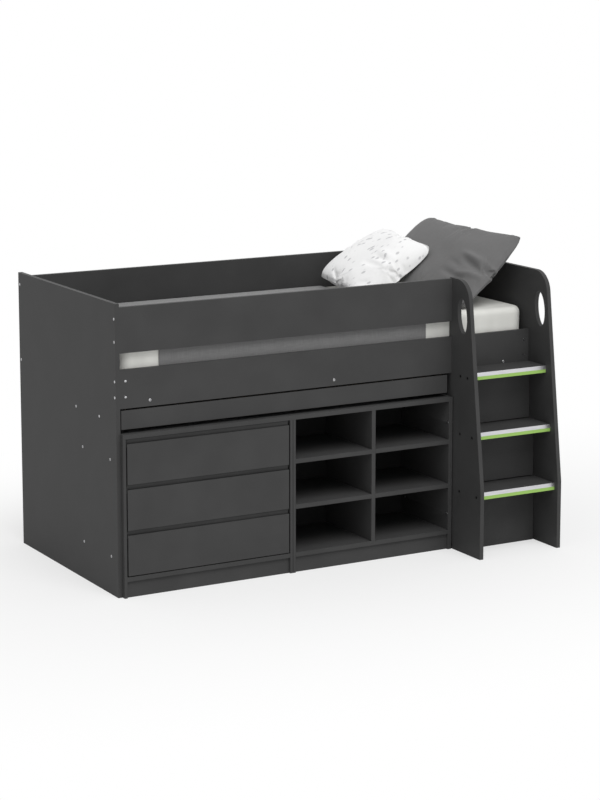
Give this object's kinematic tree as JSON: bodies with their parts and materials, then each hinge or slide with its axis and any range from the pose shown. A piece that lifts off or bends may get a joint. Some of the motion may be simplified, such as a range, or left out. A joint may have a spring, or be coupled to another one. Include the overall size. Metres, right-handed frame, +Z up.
{
  "type": "mid sleeper bed",
  "caption": "Mid sleeper bed in anthracite board with a ladder, a chest of drawers, an open bookcase, a pull-out desk and bedding.",
  "frame": {"origin": "middle of the footprint, on the floor", "axes": "+X along the bed from the plain end to the ladder end, +Y from the ladder's front to the back panel, +Z up"},
  "size_m": [1.9484, 1.183, 1.301],
  "materials": {
    "grey_board": "anthracite melamine-faced board, satin",
    "drawer_board": "anthracite foil-wrapped drawer board, matt",
    "thin_sheet": "dark lacquered hardboard",
    "tread_metal": "brushed anodised",
    "green_edging": "satin green edging strip",
    "slat_wood": "planed pine",
    "runner_steel": "zinc-plated",
    "bright_bolts": "zinc-plated",
    "dark_bolts": "black coated",
    "mattress_ticking": "off-white knitted cover",
    "blanket_fabric": "mid-grey woven cotton",
    "grey_cotton": "dark grey cotton pillowcase",
    "white_cotton": "white cotton with small grey flecks"
  },
  "bodies": {
    "bed": {"left_end_panel": "grey_board", "right_end_panel": "grey_board", "ladder_side_panel": "grey_board", "front_guard_rail": "grey_board", "front_side_rail": "grey_board", "back_panel": "grey_board", "slat_battens": "slat_wood", "mattress_slats": "slat_wood", "upper_tread": "grey_board", "middle_tread": "grey_board", "lower_tread": "grey_board", "upper_tread_grip": "tread_metal", "middle_tread_grip": "tread_metal", "lower_tread_grip": "tread_metal", "upper_tread_edging": "green_edging", "middle_tread_edging": "green_edging", "lower_tread_edging": "green_edging", "upper_kick_board": "grey_board", "middle_kick_board": "grey_board", "lower_kick_board": "grey_board", "storage_top": "grey_board", "chest_left_side": "grey_board", "chest_right_side": "grey_board", "chest_base": "grey_board", "chest_plinth": "grey_board", "chest_back": "thin_sheet", "chest_runners_left": "runner_steel", "chest_runners_right": "runner_steel", "bookcase_left_side": "grey_board", "bookcase_divider": "grey_board", "bookcase_right_side": "grey_board", "bookcase_base": "grey_board", "bookcase_plinth": "grey_board", "bookcase_back": "thin_sheet", "bookcase_shelves": "grey_board", "desk_runner_packer": "grey_board", "desk_fixed_runners": "runner_steel", "frame_bolts": "bright_bolts", "ladder_bolts": "dark_bolts", "storage_bolts": "bright_bolts", "mattress": "mattress_ticking", "blanket": "blanket_fabric", "white_pillow": "white_cotton", "grey_pillow": "grey_cotton"},
    "drawer_1": {"drawer_1_front": "grey_board", "drawer_1_box": "drawer_board", "drawer_1_base": "thin_sheet", "drawer_1_runners": "runner_steel"},
    "drawer_2": {"drawer_2_front": "grey_board", "drawer_2_box": "drawer_board", "drawer_2_base": "thin_sheet", "drawer_2_runners": "runner_steel"},
    "drawer_3": {"drawer_3_front": "grey_board", "drawer_3_box": "drawer_board", "drawer_3_base": "thin_sheet", "drawer_3_runners": "runner_steel"},
    "desk": {"desk_top": "grey_board", "desk_fascia": "grey_board", "desk_underframe": "grey_board", "desk_moving_runners": "runner_steel"}
  },
  "joints": [
    {"name": "drawer_1_slide", "type": "slide", "parent": "bed", "child": "drawer_1", "axis": [0, -1, 0], "range_m": [0, 0.27]},
    {"name": "drawer_2_slide", "type": "slide", "parent": "bed", "child": "drawer_2", "axis": [0, -1, 0], "range_m": [0, 0.27]},
    {"name": "drawer_3_slide", "type": "slide", "parent": "bed", "child": "drawer_3", "axis": [0, -1, 0], "range_m": [0, 0.27]},
    {"name": "desk_slide", "type": "slide", "parent": "bed", "child": "desk", "axis": [0, -1, 0], "range_m": [0, 0.3]}
  ]
}
